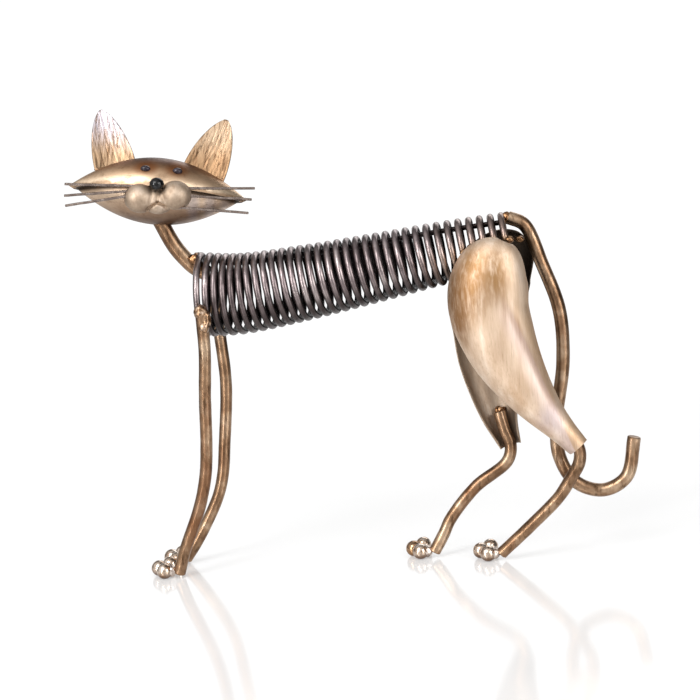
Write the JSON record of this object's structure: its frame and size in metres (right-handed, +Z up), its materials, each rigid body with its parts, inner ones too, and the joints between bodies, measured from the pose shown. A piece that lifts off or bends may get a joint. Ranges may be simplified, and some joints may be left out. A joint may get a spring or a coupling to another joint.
{
  "type": "cat sculpture",
  "caption": "Standing cat welded from a wire spring body, bent rod legs and tail, cupped sheet haunches and an almond head with ears and whiskers.",
  "frame": {"origin": "on the floor under the middle of the whole cat's box", "axes": "+X from the face towards the tail, +Y towards the cat's right side, +Z up"},
  "size_m": [0.2638, 0.0602, 0.2289],
  "materials": {
    "gunmetal_wire": "dark brushed wire with a brassy tint at the rump",
    "brass_rod": "antique brass with brown patina streaks",
    "gold_sheet": "pale champagne sheet with fine upright scratches",
    "bronze_sheet": "golden brown bronze sheet with darker patina",
    "pale_sheet": "pale grey-beige pressed sheet",
    "black_bead": "glossy black",
    "dark_bead": "dark violet-grey gloss",
    "pale_ball": "glossy silvery brass"
  },
  "bodies": {
    "root": {"body_spring": "gunmetal_wire", "spine_rod": "gunmetal_wire", "neck_rod": "brass_rod", "tail_rod": "brass_rod", "leg_front_left": "brass_rod", "leg_front_right": "brass_rod", "leg_hind_left": "brass_rod", "leg_hind_right": "brass_rod", "haunch_left": "gold_sheet", "haunch_right": "gold_sheet", "head": "bronze_sheet", "ear_left": "bronze_sheet", "ear_right": "bronze_sheet", "muzzle": "pale_sheet", "nose": "black_bead", "eye_left": "dark_bead", "eye_right": "dark_bead", "whisker_left_1": "brass_rod", "whisker_left_2": "brass_rod", "whisker_left_3": "brass_rod", "whisker_right_1": "brass_rod", "whisker_right_2": "brass_rod", "whisker_right_3": "brass_rod", "toe_front_left_1": "pale_ball", "toe_front_left_2": "pale_ball", "toe_front_left_3": "pale_ball", "toe_front_right_1": "pale_ball", "toe_front_right_2": "pale_ball", "toe_front_right_3": "pale_ball", "toe_hind_left_1": "pale_ball", "toe_hind_left_2": "pale_ball", "toe_hind_left_3": "pale_ball", "toe_hind_right_1": "pale_ball", "toe_hind_right_2": "pale_ball", "toe_hind_right_3": "pale_ball"}
  },
  "joints": []
}
